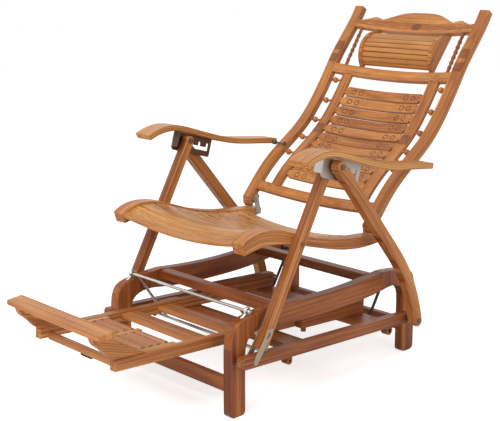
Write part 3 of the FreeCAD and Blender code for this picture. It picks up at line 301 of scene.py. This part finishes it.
paint(bamboo("Swing rail bamboo", RED, -2.7, layer=7 * MM), *both("swing_rail"), "footrest_guides",
      "rod_clips")
paint(bamboo("Swing board bamboo", RED, -3.3, True, layer=SOLID), "front_board", "rear_board")

# Upright frame: straight honey-coloured posts, bent rear legs, and the seat of two bent rails with pale
# slats across them. Layers of the legs and of the seat's rails follow their bends.

LEG_LINE = ((-42, 586), (184, 325), (232, 256), (267, 186), (286, 117))
SEAT_LINE = ((-316, 421), (-272, 439), (-232, 441), (-152, 423), (-66, 394), (50, 371), (194, 360))

paint(bamboo("Post bamboo", HONEY, 61.1, layer=6 * MM), *both("front_post"))
paint(bamboo("Bent leg bamboo", HONEY, 125, line=LEG_LINE, layer=6 * MM), *both("bent_leg"))
paint(bamboo("Seat rail bamboo", HONEY, -8, line=SEAT_LINE, layer=7 * MM), *both("seat_rail"))
paint(bamboo("Front slat bamboo", PALE, 0, True, strip=21 * MM, layer=SOLID, glue=0.85), "seat_front_slats")
paint(bamboo("Seat slat bamboo", PALE, -8, True, strip=19 * MM, layer=SOLID), "seat_slats")

# Back: S-shaped outer and inner stiles, glued up of thin layers that follow the bend, with bowed rails and
# slats between them. The rounded headrest has pale slats on two end boards.

BACK_LINE = ((146, 391), (212, 466), (288, 530), (360, 579), (402, 614), (503, 742), (602, 872), (652, 941))

paint(bamboo("Stile bamboo", HONEY, 47, line=BACK_LINE, layer=7 * MM, strip=17 * MM), *both("stile"),
      "inner_stiles")
paint(bamboo("Back rail bamboo", HONEY, 54, True, layer=SOLID), "crest_rail", "mid_rail", "bottom_rail")
paint(bamboo("Back slat bamboo", HONEY, 48, True, strip=33 * MM, layer=SOLID), "back_slats")
paint(bamboo("Headrest end bamboo", HONEY, 54), "headrest_ends")
paint(bamboo("Headrest slat bamboo", PALE, 54, True, strip=15 * MM, layer=SOLID), "headrest_slats")

# Armrests: pale bent boards, with long grain that follows their curve. Each is bolted to a stile and rests
# on its post by a steel comb.

ARM_LINE = ((-180, 615), (-137, 630), (-100, 634), (-62, 629), (-20, 617), (44, 597), (132, 574), (241, 561),
            (314, 553))

paint(bamboo("Armrest bamboo", PALE, -12, line=ARM_LINE, layer=5.4 * MM, strip=20 * MM), *both("armrest"))

# Footrest: a ladder of two honey-coloured rails with slats across them, a broad foot board on two brackets,
# and the pale bars that carry the massage rollers.

paint(bamboo("Foot rail bamboo", HONEY, -3.3), "foot_rails")
paint(bamboo("Foot bracket bamboo", HONEY, -18), "foot_brackets")
paint(bamboo("Foot slat bamboo", HONEY, -3.3, True, layer=SOLID), "foot_cross_slats", "foot_board")
paint(bamboo("Roller frame bamboo", PALE, -3.3), "roller_frame")

# Turned wood: honey-coloured beads on pegs between the outer and inner stiles, and red-brown wood for the
# twist rods. Each is turned from one block, so it has no glue lines.

turned = bamboo("Turned wood", RED, 54, strip=SOLID, layer=SOLID)
paint(bamboo("Bead wood", HONEY, 54, strip=SOLID, layer=SOLID), "beads")


def islands(name):
    """Vertices of each separate solid in a node of the frame, from a merged copy of its mesh."""
    copy = bmesh.new()
    copy.from_mesh(nodes[name].data)
    bmesh.ops.remove_doubles(copy, verts=copy.verts, dist=0.01 * MM)
    left = set(copy.verts)
    found = []
    while left:
        waiting = [left.pop()]
        solid = []
        while waiting:
            vertex = waiting.pop()
            solid.append(vertex.co.copy())
            for edge in vertex.link_edges:
                other = edge.other_vert(vertex)
                if other in left:
                    left.discard(other)
                    waiting.append(other)
        found.append(solid)
    copy.free()
    return found


def new_piece(name, vertices, faces, material, body):
    """A smooth piece that moves with a body."""
    mesh = bpy.data.meshes.new(name)
    mesh.from_pydata(vertices, [], faces)
    mesh.update()
    mesh.polygons.foreach_set("use_smooth", [True] * len(mesh.polygons))
    mesh.materials.append(material)
    piece = bpy.data.objects.new(name, mesh)
    bpy.context.scene.collection.objects.link(piece)
    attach(piece, body)
    return piece


def tube_faces(start, rings, around):
    """Quads between rings of vertices that lie one after another, with both ends closed."""
    faces = []
    for ring in range(rings - 1):
        for step in range(around):
            here = start + ring * around + step
            beside = start + ring * around + (step + 1) % around
            faces.append((here, beside, beside + around, here + around))
    faces.append(tuple(start + step for step in reversed(range(around))))
    faces.append(tuple(start + (rings - 1) * around + step for step in range(around)))
    return faces


# Twist rods between the crest and the middle rail, turned from red-brown wood. Their ends are plain and
# round, and a two-start twist is cut in between.

TWIST_RADIUS = 5.0 * MM
TWIST_DEPTH = 1.3 * MM
TWIST_LEAD = 34 * MM
TWIST_STARTS = 2
TWIST_RINGS = 90
TWIST_AROUND = 16
PLAIN_END = 0.14

twist_vertices = []
twist_faces = []
for solid in islands("spindles"):
    top = max(solid, key=lambda point: point.z)
    low = min(solid, key=lambda point: point.z)
    x_middle = (min(point.x for point in solid) + max(point.x for point in solid)) / 2
    axis = Vector((0, top.y - low.y, top.z - low.z)).normalized()
    sideways = Vector((1, 0, 0))
    forward = axis.cross(sideways)
    centre = Vector((x_middle, sum(point.y for point in solid) / len(solid),
                     sum(point.z for point in solid) / len(solid)))
    reach = [(point - centre).dot(axis) for point in solid]
    first = len(twist_vertices)
    for ring in range(TWIST_RINGS + 1):
        share = ring / TWIST_RINGS
        place = min(reach) + (max(reach) - min(reach)) * share
        cut = TWIST_DEPTH if PLAIN_END < share < 1 - PLAIN_END else 0.0
        for step in range(TWIST_AROUND):
            angle = 2 * math.pi * step / TWIST_AROUND
            twist = TWIST_STARTS * angle - 2 * math.pi * place / TWIST_LEAD * TWIST_STARTS
            radius = TWIST_RADIUS + cut * math.cos(twist)
            twist_vertices.append(centre + axis * place + sideways * radius * math.cos(angle)
                                  + forward * radius * math.sin(angle))
    twist_faces += tube_faces(first, TWIST_RINGS + 1, TWIST_AROUND)
twist_rods = new_piece("twist_rods", twist_vertices, twist_faces, turned, "backrest")
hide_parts("spindles")


# Massage rollers: pale ribbed wood, like strings of small beads, on both sides of the divider. Each row
# turns on its own thin rod. The grooves between the beads are darkened with painted shade, deepest at the
# bottom of each groove, and the rods are drawn wholly in that dark colour.

RIB_PITCH = 5.6 * MM
RIB_DEPTH = 3.0 * MM
RIB_STEPS = 6
ROLLER_AROUND = 20
DIVIDER_GAP = 9 * MM
ROD_END_LONG = 16 * MM
ROD_RADIUS = 2.5 * MM
# Painted shade: the dark colour that the grooves between the roller beads are blended towards.
GROOVE_PAINTED_SHADE = (0.10, 0.03, 0.012, 1.0)

roller_wood = bamboo("Roller wood", ((0.86, 0.46, 0.25, 1.0), (0.50, 0.19, 0.08, 1.0)), -3.3, True,
                     strip=SOLID, layer=SOLID)
groove_tree = roller_wood.node_tree
# The painted shade follows each vertex's groove depth, and is full on the rods.
painted_groove_shade = groove_tree.nodes.new("ShaderNodeAttribute")
painted_groove_shade.attribute_name = "painted_groove_shade"
roller_surface = groove_tree.nodes["Principled BSDF"]
roller_colour = roller_surface.inputs["Base Color"].links[0].from_socket
groove_tree.links.new(blend_colour(groove_tree, painted_groove_shade.outputs["Fac"], roller_colour, GROOVE_PAINTED_SHADE),
                      roller_surface.inputs["Base Color"])
for number in range(1, 5):
    node = "massage_roller_%d" % number
    low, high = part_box(node)
    middle_y, middle_z = (low.y + high.y) / 2, (low.z + high.z) / 2
    outer = (high.y - low.y) / 2
    barrel_end = high.x - ROD_END_LONG
    ribs = round((barrel_end - DIVIDER_GAP) / RIB_PITCH)
    vertices = []
    faces = []
    depths = []
    for side in (-1, 1):
        first = len(vertices)
        rings = ribs * RIB_STEPS + 1
        for ring in range(rings):
            share = ring / (rings - 1)
            x = side * (DIVIDER_GAP + (barrel_end - DIVIDER_GAP) * share)
            valley = 1 - abs(math.sin(math.pi * share * ribs))
            radius = outer - RIB_DEPTH * valley
            for step in range(ROLLER_AROUND):
                angle = side * 2 * math.pi * step / ROLLER_AROUND
                vertices.append((x, middle_y + radius * math.cos(angle), middle_z + radius * math.sin(angle)))
                depths.append(valley)
        faces += tube_faces(first, rings, ROLLER_AROUND)
    first = len(vertices)
    for x in (low.x, high.x):
        for step in range(ROLLER_AROUND):
            angle = 2 * math.pi * step / ROLLER_AROUND
            vertices.append((x, middle_y + ROD_RADIUS * math.cos(angle),
                             middle_z + ROD_RADIUS * math.sin(angle)))
            depths.append(1.0)
    faces += tube_faces(first, 2, ROLLER_AROUND)
    beaded = new_piece("roller_beads_%d" % number, vertices, faces, roller_wood, "roller_%d" % number)
    beaded.data.attributes.new("painted_groove_shade", "FLOAT", "POINT").data.foreach_set("value", depths)
    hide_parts(node)


# Carved rings: two dark burnt rings near each end of every slat of the back and the seat. Each is a thin
# band that stands a quarter of a millimetre off the slat's shown face.

RING_AROUND = 28
RING_WIDE = 1.9 * MM
RING_PROUD = 0.25 * MM
RAY_START = 100

burnt = bamboo("Burnt rings", ((0.22, 0.060, 0.018, 1.0), (0.10, 0.026, 0.008, 1.0)), 48, True, strip=SOLID,
               layer=SOLID)


def surface_of(name):
    """Faces of a node of the frame, for rays to meet."""
    mesh = nodes[name].data
    return BVHTree.FromPolygons([vertex.co for vertex in mesh.vertices],
                                [polygon.vertices[:] for polygon in mesh.polygons])


def carved_rings(name, node, body, places, facing):
    """Flat rings on each solid's shown side. A place is its X, its height above the middle and its radius."""
    shown = surface_of(node)
    section = ((-RING_WIDE, -RING_PROUD), (-RING_WIDE / 2, RING_PROUD), (RING_WIDE / 2, RING_PROUD),
               (RING_WIDE, -RING_PROUD))
    vertices = []
    faces = []
    for solid in islands(node):
        middle_y = (min(point.y for point in solid) + max(point.y for point in solid)) / 2
        middle_z = (min(point.z for point in solid) + max(point.z for point in solid)) / 2
        spread_y = sum((point.y - middle_y) ** 2 for point in solid)
        spread_z = sum((point.z - middle_z) ** 2 for point in solid)
        spread_both = sum((point.y - middle_y) * (point.z - middle_z) for point in solid)
        slope = math.atan2(2 * spread_both, spread_y - spread_z) / 2
        out = Vector((0, -math.sin(slope), math.cos(slope)))
        out = out if out.dot(facing) > 0 else -out
        rise = out.cross(Vector((1, 0, 0)))
        rise = rise if rise.z > 0 else -rise
        for x, height, ring_radius in places:
            start = Vector((x, middle_y, middle_z)) + rise * height + out * RAY_START * MM
            hit, normal, _, _ = shown.ray_cast(start, -out)
            if hit is None:
                continue
            sideways = Vector((1, 0, 0)) - normal * normal.x
            sideways.normalize()
            upward = normal.cross(sideways)
            first = len(vertices)
            for step in range(RING_AROUND):
                angle = 2 * math.pi * step / RING_AROUND
                ray = sideways * math.cos(angle) + upward * math.sin(angle)
                for off, proud in section:
                    vertices.append(hit + ray * (ring_radius + off) + normal * proud)
            for step in range(RING_AROUND):
                for lane in range(len(section) - 1):
                    here = first + step * len(section) + lane
                    there = first + (step + 1) % RING_AROUND * len(section) + lane
                    faces.append((here, here + 1, there + 1, there))
    new_piece(name, vertices, faces, burnt, body)


SLAT_RING = 7.5 * MM
UP, FRONT = Vector((0, 0, 1)), Vector((0, -1, 0.5))
carved_rings("back_rings", "back_slats", "backrest", [(x * MM, 0, SLAT_RING) for x in (-110, -84, 84, 110)],
             FRONT)
carved_rings("seat_rings", "seat_slats", "upper_frame",
             [(x * MM, 0, SLAT_RING) for x in (-168, -142, 142, 168)], UP)

# Rosette in the middle of the crest: a burnt ring with six petals around it, wider than high. It is plain
# ornament, laid on the crest like the rings on the slats.

ROSETTE_UP = -9 * MM
ROSETTE_RING = 4.5 * MM
PETALS = 6
PETAL_OUT = 8 * MM
PETAL_RING = 4 * MM
PETAL_STRETCH = 1.5
petal_turns = [math.radians(360 // PETALS * turn) for turn in range(PETALS)]
petals = [(PETAL_OUT * PETAL_STRETCH * math.cos(turn), ROSETTE_UP + PETAL_OUT * math.sin(turn), PETAL_RING)
          for turn in petal_turns]
carved_rings("crest_rosette", "crest_rail", "backrest", [(0, ROSETTE_UP, ROSETTE_RING), *petals], FRONT)


# Pad of black rubber near the middle of the footrest's front bar, with rounded edges. It sits against the
# bar's underside.

PAD_LONG, PAD_DEEP, PAD_HIGH = 42 * MM, 13 * MM, 5 * MM
PAD_ROUNDING = 1.2 * MM
PAD_ASIDE, PAD_BACK, PAD_SUNK = 14 * MM, 1 * MM, 0.4 * MM
bar_low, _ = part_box("foot_cross_slats")
pad_mesh = bmesh.new()
bmesh.ops.create_cube(pad_mesh, size=1.0)
bmesh.ops.scale(pad_mesh, vec=(PAD_LONG, PAD_DEEP, PAD_HIGH), verts=pad_mesh.verts)
bmesh.ops.bevel(pad_mesh, geom=pad_mesh.edges[:], offset=PAD_ROUNDING, segments=3, affect="EDGES")
pad_place = Vector((PAD_ASIDE, bar_low.y + PAD_DEEP / 2 + PAD_BACK, 0))
under, _, _, _ = surface_of("foot_cross_slats").ray_cast(pad_place, UP)
bmesh.ops.translate(pad_mesh, vec=under - Vector((0, 0, PAD_HIGH / 2 - PAD_SUNK)), verts=pad_mesh.verts)
pad_data = bpy.data.meshes.new("front_pad")
pad_mesh.to_mesh(pad_data)
pad_mesh.free()
rubber, rubber_tree, rubber_surface = new_material("Black rubber")
rubber_place = rubber_tree.nodes.new("ShaderNodeTexCoord")
rubber_spots = noise(rubber_tree, rubber_place.outputs["Object"], (900.0, 900.0, 900.0))
rubber_shade = blend_colour(rubber_tree, rubber_spots, (0.012, 0.012, 0.012, 1.0), (0.03, 0.03, 0.03, 1.0))
rubber_tree.links.new(rubber_shade, rubber_surface.inputs["Base Color"])
rubber_surface.inputs["Roughness"].default_value = 0.65
pad_data.materials.append(rubber)
front_pad = bpy.data.objects.new("front_pad", pad_data)
bpy.context.scene.collection.objects.link(front_pad)
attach(front_pad, "footrest")


# Steel: the hangers' bent rods, hooks, straps, combs, hinges and bolts. Each is plated bright, brassy or
# dark, with a faint mottle and slightly rounded edges. The rear hanger's rod is the front hanger's steel
# and the far comb the near comb's, both coloured darker as painted shade.

GRIME = (0.02, 0.015, 0.01, 1.0)
MOTTLE_ROUGHNESS = 0.12
STEEL_ROUNDING = 0.6 * MM


def steel(name, colour, roughness, mottle=0.12):
    """Metal of one colour, with darker spots by the mottle's share."""
    material, tree, surface = new_material(name)
    place = tree.nodes.new("ShaderNodeTexCoord")
    spots = noise(tree, place.outputs["Object"], (260.0, 260.0, 260.0), 4.0)
    shaded = blend_colour(tree, calculate(tree, "MULTIPLY", spots, mottle), colour, GRIME)
    tree.links.new(shaded, surface.inputs["Base Color"])
    tree.links.new(calculate(tree, "ADD", roughness, calculate(tree, "MULTIPLY", spots, MOTTLE_ROUGHNESS)),
                   surface.inputs["Roughness"])
    surface.inputs["Metallic"].default_value = 1.0
    rounded = tree.nodes.new("ShaderNodeBevel")
    rounded.samples = 4
    rounded.inputs["Radius"].default_value = STEEL_ROUNDING
    tree.links.new(rounded.outputs["Normal"], surface.inputs["Normal"])
    return material


paint(steel("Bright steel", (0.72, 0.71, 0.68, 1.0), 0.16), "hanger_hooks", "front_hanger")
# Painted shade: the rear hanger is the front hanger's steel, given a near-black colour.
paint(steel("Rear rod painted shade", (0.055, 0.05, 0.048, 1.0), 0.3), "rear_hanger")
paint(steel("Strap steel", (0.50, 0.44, 0.32, 1.0), 0.3, 0.3), "strap_hinges")
paint(steel("Silver comb", (0.60, 0.58, 0.54, 1.0), 0.34), "comb_plate_left")
# Painted shade: the far comb is the near comb's steel, given a darker colour.
paint(steel("Far comb painted shade", (0.16, 0.11, 0.075, 1.0), 0.38), "comb_plate_right")
paint(steel("Hinge steel", (0.42, 0.39, 0.34, 1.0), 0.34), "seat_hinges", "back_hinges")
paint(steel("Bolt steel", (0.20, 0.17, 0.14, 1.0), 0.32), "post_bolts", "arm_bolts", "rear_axles",
      "hanger_eyes", *both("leg_bolts"))


# Stage: a pale floor that keeps a soft shadow, with a glow that only the camera sees, so that it runs into
# the white background. Soft light comes from the front and the side.

HALF_FLOOR = 8.0
FLOOR_GLOW = 0.62
AMBIENT = 0.42

floor_mesh = bpy.data.meshes.new("floor")
floor_corners = [(-HALF_FLOOR, -HALF_FLOOR, 0), (HALF_FLOOR, -HALF_FLOOR, 0), (HALF_FLOOR, HALF_FLOOR, 0),
                 (-HALF_FLOOR, HALF_FLOOR, 0)]
floor_mesh.from_pydata(floor_corners, [], [(0, 1, 2, 3)])
floor = bpy.data.objects.new("floor", floor_mesh)
bpy.context.scene.collection.objects.link(floor)
floor_material, floor_tree, floor_surface = new_material("Pale floor")
floor_surface.inputs["Base Color"].default_value = (0.9, 0.9, 0.9, 1.0)
floor_surface.inputs["Roughness"].default_value = 0.9
floor_mesh.materials.append(floor_material)
floor_rays = floor_tree.nodes.new("ShaderNodeLightPath")
floor_surface.inputs["Emission Color"].default_value = (1.0, 1.0, 1.0, 1.0)
floor_tree.links.new(calculate(floor_tree, "MULTIPLY", floor_rays.outputs["Is Camera Ray"], FLOOR_GLOW),
                     floor_surface.inputs["Emission Strength"])
floor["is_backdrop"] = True

world = bpy.data.worlds.new("Studio")
bpy.context.scene.world = world
world.use_nodes = True
world_tree = world.node_tree
world_light = world_tree.nodes["Background"]
rays = world_tree.nodes.new("ShaderNodeLightPath")
seen = calculate(world_tree, "MAXIMUM", rays.outputs["Is Camera Ray"],
                 calculate(world_tree, "MAXIMUM", rays.outputs["Is Glossy Ray"],
                           rays.outputs["Is Transmission Ray"]))
world_light.inputs["Color"].default_value = (1.0, 1.0, 1.0, 1.0)
strength = calculate(world_tree, "ADD", AMBIENT, calculate(world_tree, "MULTIPLY", seen, 1 - AMBIENT))
world_tree.links.new(strength, world_light.inputs["Strength"])


def softbox(name, place, aim, size, power):
    """Square area light at a place, turned to its aim."""
    light = bpy.data.lights.new(name, "AREA")
    light.shape = "SQUARE"
    light.size = size
    light.energy = power
    lamp = bpy.data.objects.new(name, light)
    lamp.location = place
    lamp.rotation_euler = (Vector(aim) - Vector(place)).to_track_quat("-Z", "Y").to_euler()
    bpy.context.scene.collection.objects.link(lamp)


softbox("Key", (0.6, -3.4, 3.2), (0.0, 0.0, 0.4), 2.2, 118)
softbox("Side", (3.4, -0.2, 1.9), (0.0, 0.1, 0.45), 1.8, 30)

# Camera: a long lens a little higher than the back, in front of the chair and to the sitter's left.

camera = bpy.data.cameras.new("Camera")
camera.sensor_width = 36.0
camera.sensor_fit = "HORIZONTAL"
camera.lens = 76.04
eye = bpy.data.objects.new("Camera", camera)
eye.location = (1.95595, -1.95094, 1.05744)
eye.rotation_euler = (math.radians(77.03), 0.0, math.radians(45.862))
bpy.context.scene.collection.objects.link(eye)
bpy.context.scene.camera = eye
bpy.context.scene.view_settings.view_transform = "Standard"

low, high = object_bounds()
